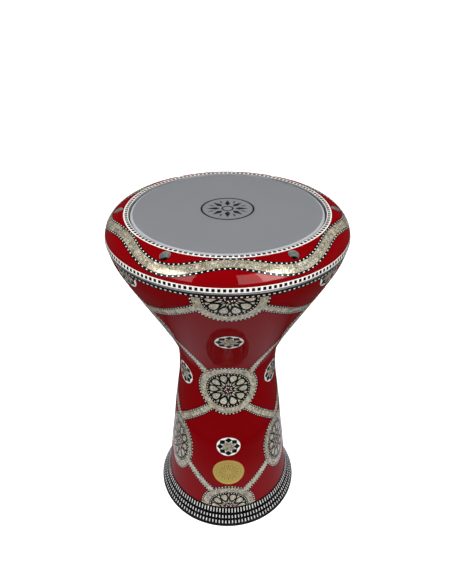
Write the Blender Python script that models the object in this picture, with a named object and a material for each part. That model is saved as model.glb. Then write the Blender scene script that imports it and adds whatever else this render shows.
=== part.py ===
"""Goblet drum (darbuka) with a screw-tuned film head and an inlaid shell.

Metres, +Z up along the drum's axis. The origin is the centre of the foot's underside, and the
pattern's front column faces -Y. An angle round the drum is measured from -Y towards +X.
"""
import math

import bmesh
import bpy

# Outline of the finished outer surface: (height, radius) stations from the foot band to the seam.
BODY_STATIONS = (
    (0.0265, 0.0895), (0.0500, 0.0868), (0.0900, 0.0823), (0.1200, 0.0783), (0.1600, 0.0738),
    (0.2000, 0.0680), (0.2250, 0.0652), (0.2450, 0.0648), (0.2650, 0.0669), (0.2850, 0.0743),
    (0.3100, 0.0861), (0.3400, 0.1016), (0.3800, 0.1224), (0.4050, 0.1342), (0.4238, 0.1394),
)
FOOT_RADIUS = 0.1032
FOOT_BAND_TOP = BODY_STATIONS[0][0]
FOOT_RIM_HEIGHT = 0.0035
SHELL_TOP = BODY_STATIONS[-1][0]

# Cast shell and tuning ring.
INLAY_DEPTH = 0.0018        # castings lie this far below the finished surface
INLAY_THICKNESS = 0.0008
WALL = 0.0042
WAIST_LOW, WAIST_HIGH = 0.2200, 0.3100
COLLAR_OUTER = 0.1089
COLLAR_INNER = 0.1040
# (radius, height) points of the collar's bearing edge, of the flange under it and of the foot's bore
BEARING_EDGE = ((COLLAR_OUTER, 0.4462), (0.1080, 0.4480), (0.1052, 0.4487), (COLLAR_INNER, 0.4476))
FLANGE_UNDERSIDE = ((COLLAR_INNER, 0.4160), (0.1080, 0.4100), (0.1215, 0.4010), (0.1255, 0.3950))
FOOT_BORE = ((0.0860, 0.0200), (0.0935, 0.0))
RING_ARC_RADIUS = 0.0250    # the ring's section is a quarter round about this circle
RING_ARC_CENTRE = 0.1145
RING_EQUATOR = 0.4252
RING_BOTTOM = 0.4245
RING_LIP_RADIUS = 0.1105
RING_LIP_UNDERSIDE = 0.4435
RING_RECESS_RADIUS = 0.1137

# Head.
FILM_TOP = 0.4495
FILM_THICKNESS = 0.0005
FILM_FLAT_RADIUS = 0.1052
FILM_RADIUS = 0.1096
FILM_SKIRT_BOTTOM = 0.4415
FILM_SKIRT_THICKNESS = 0.0004
FILM_SHOULDER = ((0.1086, 0.4486), (FILM_RADIUS, 0.4468))
FILM_SHOULDER_UNDER = ((FILM_RADIUS - FILM_SKIRT_THICKNESS, 0.4467), (0.1083, 0.4483))
HOOP_INNER, HOOP_OUTER = 0.1100, 0.1133
HOOP_BOTTOM, HOOP_TOP = 0.4375, 0.4432

# Six tuning screws, M6.
BOLT_COUNT = 6
BOLT_FIRST_ANGLE = 31.0
BOLT_CIRCLE = 0.1235
BOLT_SHANK_RADIUS = 0.0030
BOLT_HOLE_RADIUS = 0.0033
BOLT_HEAD_RADIUS = 0.0050
BOLT_HEAD_HEIGHT = 0.0060
BOLT_LENGTH = 0.0270
BOLT_CHAMFER = 0.0006
CUT_MARGIN = 0.0020         # cutters run this far past the metal
SOCKET_ACROSS_FLATS = 0.0050
SOCKET_DEPTH = 0.0035
POCKET_RADIUS = 0.0055
POCKET_FLOOR = 0.4363
WASHER_RADIUS = 0.0053
WASHER_THICKNESS = 0.0010
THREAD_BOTTOM = 0.4060

# Inlaid pattern: angles in degrees, heights and lengths in metres.
MEDALLION_RADIUS = 0.0403
SIDE_WIDTH, SIDE_HEIGHT = 0.76, 1.20    # the side medallions are upright ovals
SMALL_ROSETTE_RADIUS = 0.0165
BADGE_RADIUS = 0.0218
GAP = 0.0003
SHELL_BAND_BOTTOM, SHELL_BAND_TOP = 0.4180, 0.4222
RING_BAND_BOTTOM, RING_BAND_TOP = 0.4255, 0.4307
LIP_BAND_OUTER = 0.1166
FRONT_COLUMNS = (1.0, 122.0, -120.0)
SIDE_COLUMNS = (61.5, -59.5, 181.0)
SEAM_ROSETTES = (49.5, -48.5, 169.5, -168.5)
WAIST_ROSETTES = (61.5, -58.0, 181.0)
TOP_MEDALLION_HEIGHT = 0.4180
HIGH_SIDE_HEIGHT = 0.3430
WAIST_MEDALLION_HEIGHT = 0.2320
LOW_SIDE_HEIGHT = 0.1110
FOOT_MEDALLION_HEIGHT = 0.0270
CONE_ROSETTE_HEIGHT = 0.3350
WAIST_ROSETTE_HEIGHT = 0.2350
STEM_ROSETTE_HEIGHT = 0.1390
BADGE_HEIGHT = 0.0932
RIBBON_WAVES = 6
RIBBON_MIDDLE = 0.0228      # arc length above the ring's equator
RIBBON_AMPLITUDE = 0.0071
RIBBON_HALF_WIDTH = 0.0069

SEGMENTS = 48               # facets round a full turn, and round the smaller things below
HOLE_SEGMENTS = 12
POCKET_SEGMENTS = 16
PATCH_COLUMNS = 16
SIDE_PATCH_COLUMNS = 20
ROSETTE_COLUMNS = 12
RIBBON_COLUMNS = 72
RING_ARC_STEPS = 7
SLOPE_STEP = 0.0005         # steps for the outline's slope and for walking along it
WALK_STEPS = 24
CREASE_ANGLE = 35.0

RED_LACQUER = ("red_lacquer", (0.24, 0.002, 0.004), 0.18, 0.0)
BARE_ALUMINIUM = ("bare_aluminium", (0.62, 0.62, 0.60), 0.35, 1.0)
BLACK_STEEL = ("black_steel", (0.02, 0.02, 0.02), 0.35, 1.0)
ZINC = ("zinc", (0.50, 0.50, 0.50), 0.40, 1.0)
FILM = ("grey_film", (0.26, 0.27, 0.28), 0.55, 0.0)
PEARL = ("pearl", (0.38, 0.33, 0.22), 0.25, 0.0)
WHITE_AND_BLACK = ("white_and_black", (0.55, 0.55, 0.53), 0.30, 0.0)
BLACK_BAND = ("black_band", (0.02, 0.02, 0.02), 0.30, 0.0)
GOLD = ("gold", (0.50, 0.38, 0.09), 0.35, 1.0)


def clear_scene():
    for item in list(bpy.data.objects):
        bpy.data.objects.remove(item, do_unlink=True)


def make_material(finish):
    name, colour, roughness, metallic = finish
    material = bpy.data.materials.new(name)
    material.use_nodes = True
    shader = material.node_tree.nodes["Principled BSDF"]
    shader.inputs["Base Color"].default_value = (*colour, 1.0)
    shader.inputs["Roughness"].default_value = roughness
    shader.inputs["Metallic"].default_value = metallic
    return material


def make_object(name, verts, faces, finish):
    mesh = bpy.data.meshes.new(name)
    mesh.from_pydata(verts, [], faces)
    work = bmesh.new()
    work.from_mesh(mesh)
    bmesh.ops.recalc_face_normals(work, faces=work.faces)
    work.to_mesh(mesh)
    work.free()
    mesh.materials.append(make_material(finish))
    mesh.shade_smooth()
    mesh.set_sharp_from_angle(angle=math.radians(CREASE_ANGLE))
    item = bpy.data.objects.new(name, mesh)
    bpy.context.collection.objects.link(item)
    return item


# Surface of the finished drum.

def body_radius(z):
    """Smooth radius through BODY_STATIONS (cubic pieces with averaged end slopes)."""
    last = len(BODY_STATIONS) - 1
    index = 0
    while index < last - 1 and z > BODY_STATIONS[index + 1][0]:
        index += 1
    z0, r0 = BODY_STATIONS[index]
    z1, r1 = BODY_STATIONS[index + 1]
    step = z1 - z0

    def slope(i):
        low, high = max(i - 1, 0), min(i + 1, last)
        return ((BODY_STATIONS[high][1] - BODY_STATIONS[low][1])
                / (BODY_STATIONS[high][0] - BODY_STATIONS[low][0]))

    t = (z - z0) / step
    return ((2 * t**3 - 3 * t**2 + 1) * r0 + (t**3 - 2 * t**2 + t) * step * slope(index)
            + (3 * t**2 - 2 * t**3) * r1 + (t**3 - t**2) * step * slope(index + 1))


def body_slope(z):
    """Change of radius with height."""
    return (body_radius(z + SLOPE_STEP) - body_radius(z - SLOPE_STEP)) / (2 * SLOPE_STEP)


def body_normal(z):
    """Outward normal (radial, axial) of the body at a height."""
    rise = body_slope(z)
    length = math.hypot(1.0, rise)
    return 1.0 / length, -rise / length


def height_above(z, distance):
    """Height reached by walking a distance along the body's outline from a height."""
    for _ in range(WALK_STEPS):
        z += distance / WALK_STEPS / math.hypot(1.0, body_slope(z))
    return z


def around(radius, z, degrees):
    angle = math.radians(degrees)
    return radius * math.sin(angle), -radius * math.cos(angle), z


def on_body(angle, z, x, y, lift):
    """Point at local (x, y) from a pattern centre, lifted along the normal."""
    height = min(max(height_above(z, y), FOOT_BAND_TOP + GAP), SHELL_BAND_BOTTOM - GAP)
    radius = body_radius(height)
    out, up = body_normal(height)
    return around(radius + out * lift, height + up * lift, angle + math.degrees(x / radius))


def on_ring(angle, arc, lift):
    """Point on the ring's quarter round, an arc length above its equator."""
    turn = arc / RING_ARC_RADIUS
    reach = RING_ARC_RADIUS + lift
    return around(RING_ARC_CENTRE + reach * math.cos(turn), RING_EQUATOR + reach * math.sin(turn), angle)


# Solids.

def revolve(name, outline, finish, segments=SEGMENTS):
    """Turn a closed outline of (radius, height) points; a point on the axis becomes a pole."""
    verts, rows = [], []
    for radius, z in outline:
        if radius == 0.0:
            rows.append([len(verts)] * segments)
            verts.append((0.0, 0.0, z))
            continue
        rows.append([len(verts) + i for i in range(segments)])
        verts += [around(radius, z, 360.0 * i / segments) for i in range(segments)]
    faces = []
    for row, following in zip(rows, rows[1:] + rows[:1]):
        for i in range(segments):
            j = (i + 1) % segments
            face = []
            for corner in (row[i], row[j], following[j], following[i]):
                if corner not in face:
                    face.append(corner)
            if len(face) > 2:
                faces.append(face)
    return make_object(name, verts, faces, finish)


def make_tile(name, rows, place, closed, finish, fan=None):
    """Thin curved solid between two lifts of a surface.

    rows: lists of local points from the inside out. fan: a centre point closing the first row.
    """
    columns = len(rows[0])
    spans = columns if closed else columns - 1
    last = len(rows) - 1
    verts, layers, middles = [], [], []
    for lift in (0.0, -INLAY_THICKNESS):
        layers.append(len(verts))
        verts += [place(*point, lift) for row in rows for point in row]
        if fan is not None:
            middles.append(len(verts))
            verts.append(place(*fan, lift))
    faces = []

    def corner(layer, row, column):
        return layers[layer] + row * columns + column % columns

    def wall(top, under):
        for i in range(len(top) - 1):
            faces.append([top[i], under[i], under[i + 1], top[i + 1]])

    for layer in (0, 1):
        for row in range(last):
            for i in range(spans):
                faces.append([corner(layer, row, i), corner(layer, row, i + 1),
                              corner(layer, row + 1, i + 1), corner(layer, row + 1, i)])
        if fan is not None:
            for i in range(spans):
                faces.append([middles[layer], corner(layer, 0, i + 1), corner(layer, 0, i)])
    wall(*[[corner(layer, last, i) for i in range(spans + 1)] for layer in (0, 1)])
    if fan is None:
        wall(*[[corner(layer, 0, i) for i in range(spans + 1)] for layer in (0, 1)])
    if not closed:
        for column in (0, columns - 1):
            sides = []
            for layer in (0, 1):
                side = [corner(layer, row, column) for row in range(len(rows))]
                sides.append(middles[layer:layer + 1] + side)
            wall(*sides)
    return make_object(name, verts, faces, finish)


WHOLE, LOWER_HALF, UPPER_HALF = (0.0, 360.0), (180.0, 360.0), (0.0, 180.0)


def make_disc(name, centre, radius, finish, span=WHOLE, columns=PATCH_COLUMNS, rings=3, stretch=(1.0, 1.0)):
    """Round, oval or half-round plate bent to the body about a pattern centre (angle, height)."""
    closed = span == WHOLE
    first, end = (math.radians(limit) for limit in span)
    rows = []
    for ring in range(1, rings + 1):
        reach = radius * ring / rings
        row = []
        for i in range(columns if closed else columns + 1):
            turn = first + (end - first) * i / columns
            row.append((reach * stretch[0] * math.cos(turn), reach * stretch[1] * math.sin(turn)))
        rows.append(row)
    make_tile(name, rows, lambda x, y, lift: on_body(*centre, x, y, lift), closed, finish, fan=(0.0, 0.0))


def make_medallions():
    for number, angle in enumerate(FRONT_COLUMNS, start=1):
        top, waist, foot = ((angle, z) for z in (TOP_MEDALLION_HEIGHT, WAIST_MEDALLION_HEIGHT,
                                                 FOOT_MEDALLION_HEIGHT))
        make_disc(f"medallion_top_{number}", top, MEDALLION_RADIUS, PEARL, LOWER_HALF)
        make_disc(f"medallion_waist_{number}", waist, MEDALLION_RADIUS, PEARL)
        make_disc(f"medallion_foot_{number}", foot, MEDALLION_RADIUS, PEARL, UPPER_HALF)
    for number, angle in enumerate(SIDE_COLUMNS, start=1):
        for name, z in (("cone", HIGH_SIDE_HEIGHT), ("stem", LOW_SIDE_HEIGHT)):
            make_disc(f"medallion_{name}_{number}", (angle, z), MEDALLION_RADIUS, PEARL,
                      columns=SIDE_PATCH_COLUMNS, stretch=(SIDE_WIDTH, SIDE_HEIGHT))


def make_small_rosettes():
    def rosette(name, angle, z, span=WHOLE, columns=ROSETTE_COLUMNS):
        make_disc(name, (angle, z), SMALL_ROSETTE_RADIUS, WHITE_AND_BLACK, span, columns, rings=1)

    for number, angle in enumerate(FRONT_COLUMNS, start=1):
        rosette(f"rosette_cone_{number}", angle, CONE_ROSETTE_HEIGHT)
        rosette(f"rosette_stem_{number}", angle, STEM_ROSETTE_HEIGHT)
    for number, angle in enumerate(WAIST_ROSETTES, start=1):
        rosette(f"rosette_waist_{number}", angle, WAIST_ROSETTE_HEIGHT)
    for number, angle in enumerate(SEAM_ROSETTES, start=1):
        rosette(f"rosette_seam_{number}", angle, TOP_MEDALLION_HEIGHT, LOWER_HALF, ROSETTE_COLUMNS * 2 // 3)


def make_ribbon():
    angles = [360.0 * i / RIBBON_COLUMNS for i in range(RIBBON_COLUMNS)]
    rows = [[(angle, side) for angle in angles] for side in (-RIBBON_HALF_WIDTH, 0.0, RIBBON_HALF_WIDTH)]

    def place(angle, side, lift):
        wave = math.cos(math.radians(RIBBON_WAVES * (angle - FRONT_COLUMNS[0])))
        return on_ring(angle, RIBBON_MIDDLE + RIBBON_AMPLITUDE * wave + side, lift)

    make_tile("ring_ribbon", rows, place, True, PEARL)


def band_outline(z_low, z_high, radius_at):
    """Closed outline of a thin band on a turned surface between two heights."""
    outer = [(radius_at(z), z) for z in (z_low, z_high)]
    inner = [(radius - INLAY_THICKNESS, z) for radius, z in outer]
    return outer + inner[::-1]


def foot_radius(z):
    return FOOT_RADIUS + (BODY_STATIONS[0][1] - FOOT_RADIUS) * z / FOOT_BAND_TOP


def ring_radius(z):
    return RING_ARC_CENTRE + math.sqrt(RING_ARC_RADIUS**2 - (z - RING_EQUATOR)**2)


def make_edge_bands():
    revolve("foot_band", band_outline(FOOT_RIM_HEIGHT + GAP, FOOT_BAND_TOP - GAP, foot_radius), BLACK_BAND)
    revolve("shell_edge_band", band_outline(SHELL_BAND_BOTTOM, SHELL_BAND_TOP, body_radius), BLACK_BAND)
    revolve("ring_edge_band", band_outline(RING_BAND_BOTTOM, RING_BAND_TOP, ring_radius), WHITE_AND_BLACK)
    lip = []
    for radius in (RING_LIP_RADIUS, LIP_BAND_OUTER):
        rise = math.sqrt(RING_ARC_RADIUS**2 - (radius - RING_ARC_CENTRE)**2)
        lip.append((radius, RING_EQUATOR + rise))
    under = [(radius, z - INLAY_THICKNESS) for radius, z in reversed(lip)]
    revolve("ring_lip_band", lip + under, WHITE_AND_BLACK)


# Castings.

def outline_heights():
    """Heights of the shell's outline: the stations, with one more between each pair at the waist."""
    heights = []
    for (z, _), (following, _) in zip(BODY_STATIONS[1:], BODY_STATIONS[2:]):
        heights.append(z)
        if WAIST_LOW <= z < WAIST_HIGH:
            heights.append((z + following) / 2)
    return heights + [SHELL_TOP]


def shell_outline():
    outer = [(FOOT_RADIUS, 0.0), (foot_radius(FOOT_RIM_HEIGHT), FOOT_RIM_HEIGHT),
             (foot_radius(FOOT_RIM_HEIGHT) - INLAY_DEPTH, FOOT_RIM_HEIGHT),
             (BODY_STATIONS[0][1] - INLAY_DEPTH, FOOT_BAND_TOP)]
    for z in outline_heights():
        out, up = body_normal(min(z, SHELL_TOP - SLOPE_STEP))
        outer.append((body_radius(z) - out * INLAY_DEPTH, z - up * INLAY_DEPTH if z < SHELL_TOP else z))
    collar = [(COLLAR_OUTER, SHELL_TOP), *BEARING_EDGE, *FLANGE_UNDERSIDE]
    bore = [(radius - INLAY_DEPTH - WALL, z) for z, radius in reversed(BODY_STATIONS[1:-2])]
    return outer + collar + bore + list(FOOT_BORE)


def ring_outline():
    reach = RING_ARC_RADIUS - INLAY_DEPTH
    outline = [(RING_RECESS_RADIUS, RING_BOTTOM), (RING_ARC_CENTRE + reach, RING_BOTTOM)]
    for i in range(RING_ARC_STEPS + 1):
        turn = math.radians(90.0 * i / RING_ARC_STEPS)
        outline.append((RING_ARC_CENTRE + reach * math.cos(turn), RING_EQUATOR + reach * math.sin(turn)))
    outline += [(RING_LIP_RADIUS, RING_EQUATOR + reach), (RING_LIP_RADIUS, RING_LIP_UNDERSIDE),
                (RING_RECESS_RADIUS, RING_LIP_UNDERSIDE)]
    return outline


def bolt_angles():
    return [BOLT_FIRST_ANGLE + 360.0 / BOLT_COUNT * i for i in range(BOLT_COUNT)]


def drill(item, name, radius, z_low, z_high, segments):
    """Cut one round hole at each screw with a hidden cutter."""
    verts, faces = [], []
    for angle in bolt_angles():
        cx, cy, _ = around(BOLT_CIRCLE, 0.0, angle)
        start = len(verts)
        for z in (z_low, z_high):
            for i in range(segments):
                turn = 2 * math.pi * i / segments
                verts.append((cx + radius * math.cos(turn), cy + radius * math.sin(turn), z))
        faces.append([start + i for i in range(segments)][::-1])
        faces.append([start + segments + i for i in range(segments)])
        for i in range(segments):
            j = (i + 1) % segments
            faces.append([start + i, start + j, start + segments + j, start + segments + i])
    cutter = make_object(name, verts, faces, ZINC)
    cutter.hide_render = True
    cutter.display_type = "WIRE"
    cut = item.modifiers.new(name, "BOOLEAN")
    cut.operation = "DIFFERENCE"
    cut.solver = "EXACT"
    cut.object = cutter


def make_castings():
    shell = revolve("shell", shell_outline(), RED_LACQUER)
    drill(shell, "thread_cutter", BOLT_HOLE_RADIUS, THREAD_BOTTOM, SHELL_TOP + CUT_MARGIN, HOLE_SEGMENTS)
    ring = revolve("tuning_ring", ring_outline(), RED_LACQUER)
    drill(ring, "clearance_cutter", BOLT_HOLE_RADIUS, RING_BOTTOM - CUT_MARGIN, POCKET_FLOOR + CUT_MARGIN,
          HOLE_SEGMENTS)
    drill(ring, "pocket_cutter", POCKET_RADIUS, POCKET_FLOOR, FILM_TOP + CUT_MARGIN, POCKET_SEGMENTS)


def make_head():
    under = FILM_TOP - FILM_THICKNESS
    film = [(0.0, FILM_TOP), (FILM_FLAT_RADIUS, FILM_TOP), *FILM_SHOULDER, (FILM_RADIUS, FILM_SKIRT_BOTTOM),
            (FILM_RADIUS - FILM_SKIRT_THICKNESS, FILM_SKIRT_BOTTOM), *FILM_SHOULDER_UNDER,
            (FILM_FLAT_RADIUS, under), (0.0, under)]
    revolve("drumhead_film", film, FILM)
    hoop = [(HOOP_INNER, HOOP_BOTTOM), (HOOP_OUTER, HOOP_BOTTOM), (HOOP_OUTER, HOOP_TOP),
            (HOOP_INNER, HOOP_TOP)]
    revolve("flesh_hoop", hoop, BARE_ALUMINIUM)


# Screws and washers.

def hexagon_radius(degrees):
    """Distance from a hexagon's centre to its edge in a direction."""
    offset = (degrees % 60.0) - 30.0
    return SOCKET_ACROSS_FLATS / 2 / math.cos(math.radians(offset))


def make_bolt(number, angle):
    """One socket-head screw about its own axis, standing in its pocket on a washer."""
    seat = POCKET_FLOOR + GAP + WASHER_THICKNESS + GAP
    top = seat + BOLT_HEAD_HEIGHT
    floor = top - SOCKET_DEPTH
    tip = seat - BOLT_LENGTH
    rings = [(None, tip), (BOLT_SHANK_RADIUS - BOLT_CHAMFER, tip), (BOLT_SHANK_RADIUS, tip + BOLT_CHAMFER),
             (BOLT_SHANK_RADIUS, seat), (BOLT_HEAD_RADIUS, seat), (BOLT_HEAD_RADIUS, top - BOLT_CHAMFER),
             (BOLT_HEAD_RADIUS - BOLT_CHAMFER, top), ("hexagon", top), ("hexagon", floor), (None, floor)]
    verts, rows = [], []
    for radius, z in rings:
        if radius is None:
            rows.append([len(verts)] * HOLE_SEGMENTS)
            verts.append((0.0, 0.0, z))
            continue
        rows.append([len(verts) + i for i in range(HOLE_SEGMENTS)])
        for i in range(HOLE_SEGMENTS):
            turn = 360.0 * i / HOLE_SEGMENTS
            reach = hexagon_radius(turn) if radius == "hexagon" else radius
            verts.append(around(reach, z, turn))
    faces = []
    for row, following in zip(rows, rows[1:]):
        for i in range(HOLE_SEGMENTS):
            j = (i + 1) % HOLE_SEGMENTS
            face = []
            for corner in (row[i], row[j], following[j], following[i]):
                if corner not in face:
                    face.append(corner)
            faces.append(face)
    bolt = make_object(f"tuning_bolt_{number}", verts, faces, BLACK_STEEL)
    x, y, _ = around(BOLT_CIRCLE, 0.0, angle)
    bolt.location = (x, y, 0.0)


def make_washer(number, angle):
    low = POCKET_FLOOR + GAP
    section = [(BOLT_HOLE_RADIUS, low), (WASHER_RADIUS, low),
               (WASHER_RADIUS, low + WASHER_THICKNESS), (BOLT_HOLE_RADIUS, low + WASHER_THICKNESS)]
    washer = revolve(f"bolt_washer_{number}", section, ZINC, HOLE_SEGMENTS)
    x, y, _ = around(BOLT_CIRCLE, 0.0, angle)
    washer.location = (x, y, 0.0)


def main():
    clear_scene()
    make_castings()
    make_head()
    for number, angle in enumerate(bolt_angles(), start=1):
        make_bolt(number, angle)
        make_washer(number, angle)
    make_medallions()
    make_small_rosettes()
    make_disc("badge", (FRONT_COLUMNS[0], BADGE_HEIGHT), BADGE_RADIUS, GOLD)
    make_ribbon()
    make_edge_bands()


main()
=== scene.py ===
"""Looks of the goblet drum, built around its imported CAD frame.

Castings, fittings and heights are in metres. The inlay is drawn in millimetres, and names that end in
MM are millimetres too. An inlaid tile is a small closed solid bent onto a turned surface, placed by an
angle in degrees (from -Y towards +X) and an arc length up the surface's outline.
"""
import random
from collections import namedtuple
from math import asin, atan2, ceil, cos, degrees, hypot, pi, radians, sin, tan

import bmesh
import bpy
import numpy as np
from mathutils import Matrix, Vector


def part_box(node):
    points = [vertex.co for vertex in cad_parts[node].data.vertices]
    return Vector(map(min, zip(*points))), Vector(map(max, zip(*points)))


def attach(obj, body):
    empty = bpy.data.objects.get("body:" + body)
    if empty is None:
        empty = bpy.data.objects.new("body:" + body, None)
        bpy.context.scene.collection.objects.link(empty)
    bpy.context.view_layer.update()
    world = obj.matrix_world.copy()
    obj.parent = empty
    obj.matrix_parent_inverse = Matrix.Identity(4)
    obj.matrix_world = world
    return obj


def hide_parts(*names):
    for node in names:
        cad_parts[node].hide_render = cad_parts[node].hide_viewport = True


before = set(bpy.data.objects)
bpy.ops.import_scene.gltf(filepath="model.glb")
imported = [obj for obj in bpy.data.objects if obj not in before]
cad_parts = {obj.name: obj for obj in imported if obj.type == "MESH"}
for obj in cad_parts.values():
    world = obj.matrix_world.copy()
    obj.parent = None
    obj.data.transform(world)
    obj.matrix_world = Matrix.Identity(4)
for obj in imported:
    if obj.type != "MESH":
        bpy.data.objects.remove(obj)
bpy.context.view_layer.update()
random.seed(7)
MM = 0.001

# Outline of the finished body, from the foot band to the seam: (height, radius).
BODY_STATIONS = (
    (0.0265, 0.0895), (0.0500, 0.0868), (0.0900, 0.0823), (0.1200, 0.0783), (0.1600, 0.0738),
    (0.2000, 0.0680), (0.2250, 0.0652), (0.2450, 0.0648), (0.2650, 0.0669), (0.2850, 0.0743),
    (0.3100, 0.0861), (0.3400, 0.1016), (0.3800, 0.1224), (0.4050, 0.1342), (0.4238, 0.1394),
)
FOOT_RADIUS = 0.1032
FOOT_TOP, FOOT_TOP_RADIUS = BODY_STATIONS[0]
FOOT_RIM = 0.0035
SHELL_TOP, SHELL_TOP_RADIUS = BODY_STATIONS[-1]
INLAY_DEPTH = 0.0018
WALL = 0.0042
COLLAR_OUTER = 0.1089
BEARING_EDGE = ((COLLAR_OUTER, 0.4462), (0.1080, 0.4480), (0.1052, 0.4487), (0.1040, 0.4476))
FLANGE_UNDERSIDE = ((0.1040, 0.4160), (0.1080, 0.4100), (0.1215, 0.4010), (0.1255, 0.3950))
FOOT_BORE = ((0.0860, 0.0200), (0.0935, 0.0))
FOOT_CHAMFER, FOOT_UNDERCUT = 0.0005, 0.0008
SEAM_CHAMFER = 0.0006       # bare metal corner of the shell under the ring
BORE_TOP, BORE_BOTTOM = 0.3800, 0.0400
RING_ARC_RADIUS = 0.0250
RING_ARC_CENTRE = 0.1145
RING_ARC_END = 99.2         # degrees of the rounded face, from its widest circle to the lip
RING_EQUATOR = 0.4252
RING_BOTTOM, RING_CHAMFER = 0.4245, 0.0006
RING_LIP_RADIUS = 0.1105
RING_LIP_UNDERSIDE = 0.4435
RING_RECESS_RADIUS = 0.1137
FILM_TOP = 0.4495
FILM_FLAT_RADIUS = 0.1052
FILM_OUTLINE = ((0.1070, 0.44928), (0.1086, 0.4486), (0.1094, 0.4477), (0.1096, 0.4466), (0.1096, 0.4415))
FILM_UNDER = ((0.1092, 0.4415), (0.1092, 0.4465), (0.1083, 0.4481), (0.1052, 0.4490))
FILM_UNDERSIDE = 0.4490
FILM_HIGHLIGHT_RADII = (0.1064, 0.1072)        # radii between which the film turns pale, a painted highlight on its bend over the bearing edge
HOOP_INNER, HOOP_OUTER = 0.1100, 0.1133
HOOP_LOW, HOOP_HIGH, HOOP_CHAMFER = 0.4375, 0.4432, 0.0002
BOLT_CIRCLE = 0.1235
BOLT_FIRST_ANGLE = 31.0
POCKET_RADIUS = 0.0055
POCKET_FLOOR, POCKET_CUT_TOP = 0.4363, 0.4595
HOLE_RADIUS = 0.0033
SHELL_HOLE_BOTTOM = 0.4060

# Columns of patterns (degrees), heights of their centres (metres) and sizes (millimetres).
FRONT_COLUMNS = (1.0, 122.0, -120.0)
SIDE_COLUMNS = (61.5, -59.5, 181.0)
SEAM_ROSETTES = (49.5, -48.5, 169.5, -168.5)
WAIST_ROSETTES = (61.5, -58.0, 181.0)
TOP_Z, HIGH_SIDE_Z, WAIST_Z, LOW_SIDE_Z, FOOT_Z = 0.4180, 0.3430, 0.2320, 0.1110, 0.0270
CONE_ROSETTE_Z, WAIST_ROSETTE_Z, STEM_ROSETTE_Z, BADGE_Z = 0.3350, 0.2350, 0.1390, 0.0932
SHELL_BAND_BOTTOM = 0.4180
FIELD_MM, FRAME_MM, EDGING_MM = 28.5, 37.8, 40.3
SIDE_STRETCH = (0.76, 1.20)
SPAN_MM = 2.6               # longest edge left flat on a curved surface
SMALLEST_TILE_MM2 = 0.15
ROSETTE_MM, BADGE_MM = 16.5, 21.8
JOINT_MM = 0.02             # gap between two sheets that meet edge to edge
BAND_CLEARANCE = 0.0003     # gap between a cut pattern and the band that cuts it

# Heights of the layers above the lacquer, in millimetres.
BURIED = -0.50
EDGING_LOW, EDGING_TOP = 0.04, 0.11
BAND_LOW, BAND_TOP = 0.13, 0.20
FRAME_LOW, FRAME_TOP = 0.22, 0.30

BLACK, PEARL, WHITE, RED = range(4)
PLAIN_TINT = (0.5, 0.5, 0.5)


def linear(*srgb):
    """Linear colour from 0-255 display values."""
    return tuple(c / 12.92 if c <= 0.04045 else ((c + 0.055) / 1.055) ** 2.4
                 for c in (v / 255 for v in srgb)) + (1.0,)


def grey(value):
    return (value, value, value, 1.0)


# Materials.

class Nodes:
    """Short calls for adding and linking a node tree's nodes."""

    def __init__(self, tree):
        self.tree = tree

    def add(self, kind, links=None, values=None, **settings):
        node = self.tree.nodes.new("ShaderNode" + kind)
        for key, value in settings.items():
            setattr(node, key, value)
        for key, value in (values or {}).items():
            node.inputs[key].default_value = value
        for key, source in (links or {}).items():
            self.tree.links.new(source, node.inputs[key])
        return node

    def ramp(self, source, *stops):
        node = self.add("ValToRGB", {"Fac": source})
        elements = node.color_ramp.elements
        while len(elements) < len(stops):
            elements.new(0.5)
        for element, (position, colour) in zip(elements, stops):
            element.position = position
            element.color = colour
        return node.outputs["Color"]


class Shader(Nodes):
    """A Principled material."""

    def __init__(self, name, **values):
        self.material = bpy.data.materials.new(name)
        self.material.use_nodes = True
        super().__init__(self.material.node_tree)
        self.main = self.tree.nodes["Principled BSDF"]
        for key, value in values.items():
            self.main.inputs[key.replace("_", " ")].default_value = value

    def place(self):
        return self.add("TexCoord").outputs["Object"]

    def radius(self):
        """Distance from the drum's axis."""
        flat = self.add("VectorMath", {0: self.place()}, {1: (1.0, 1.0, 0.0)}, operation="MULTIPLY")
        return self.add("VectorMath", {0: flat.outputs[0]}, operation="LENGTH").outputs["Value"]

    def noise(self, scale, detail=3.0, roughness=0.55, stretch=(1.0, 1.0, 1.0)):
        place = self.add("Mapping", {"Vector": self.place()}, {"Scale": stretch}).outputs["Vector"]
        values = {"Scale": scale, "Detail": detail, "Roughness": roughness}
        return self.add("TexNoise", {"Vector": place}, values).outputs["Fac"]

    def mix(self, factor, first, second):
        node = self.add("Mix", data_type="RGBA")
        for socket, value in ((node.inputs[0], factor), (node.inputs[6], first), (node.inputs[7], second)):
            if isinstance(value, bpy.types.NodeSocket):
                self.tree.links.new(value, socket)
            else:
                socket.default_value = value
        return node.outputs[2]

    def scaled(self, source, low, high, start=0.0, end=1.0):
        """Value that goes from low to high as the source goes from start to end."""
        values = {"From Min": start, "From Max": end, "To Min": low, "To Max": high}
        return self.add("MapRange", {"Value": source}, values).outputs["Result"]

    def colour(self, source):
        self.tree.links.new(source, self.main.inputs["Base Color"])

    def roughness(self, source, low, high):
        self.tree.links.new(self.scaled(source, low, high), self.main.inputs["Roughness"])

    def bump(self, source, distance, strength=1.0):
        node = self.add("Bump", {"Height": source}, {"Strength": strength, "Distance": distance})
        self.tree.links.new(node.outputs["Normal"], self.main.inputs["Normal"])


def red_lacquer():
    """Deep red gloss with a slightly wavy surface."""
    s = Shader("red_lacquer", Metallic=0.05, Specular_IOR_Level=0.0, Coat_Weight=0.28, Coat_Roughness=0.010)
    cloud = s.noise(14.0, 2.0)
    s.colour(s.ramp(cloud, (0.3, (0.206, 0.0002, 0.0014, 1)), (0.7, (0.232, 0.0004, 0.0024, 1))))
    s.roughness(s.noise(160.0), 0.20, 0.27)
    s.bump(s.noise(75.0, 2.0), 0.00012, 1.0)
    return s.material


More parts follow.
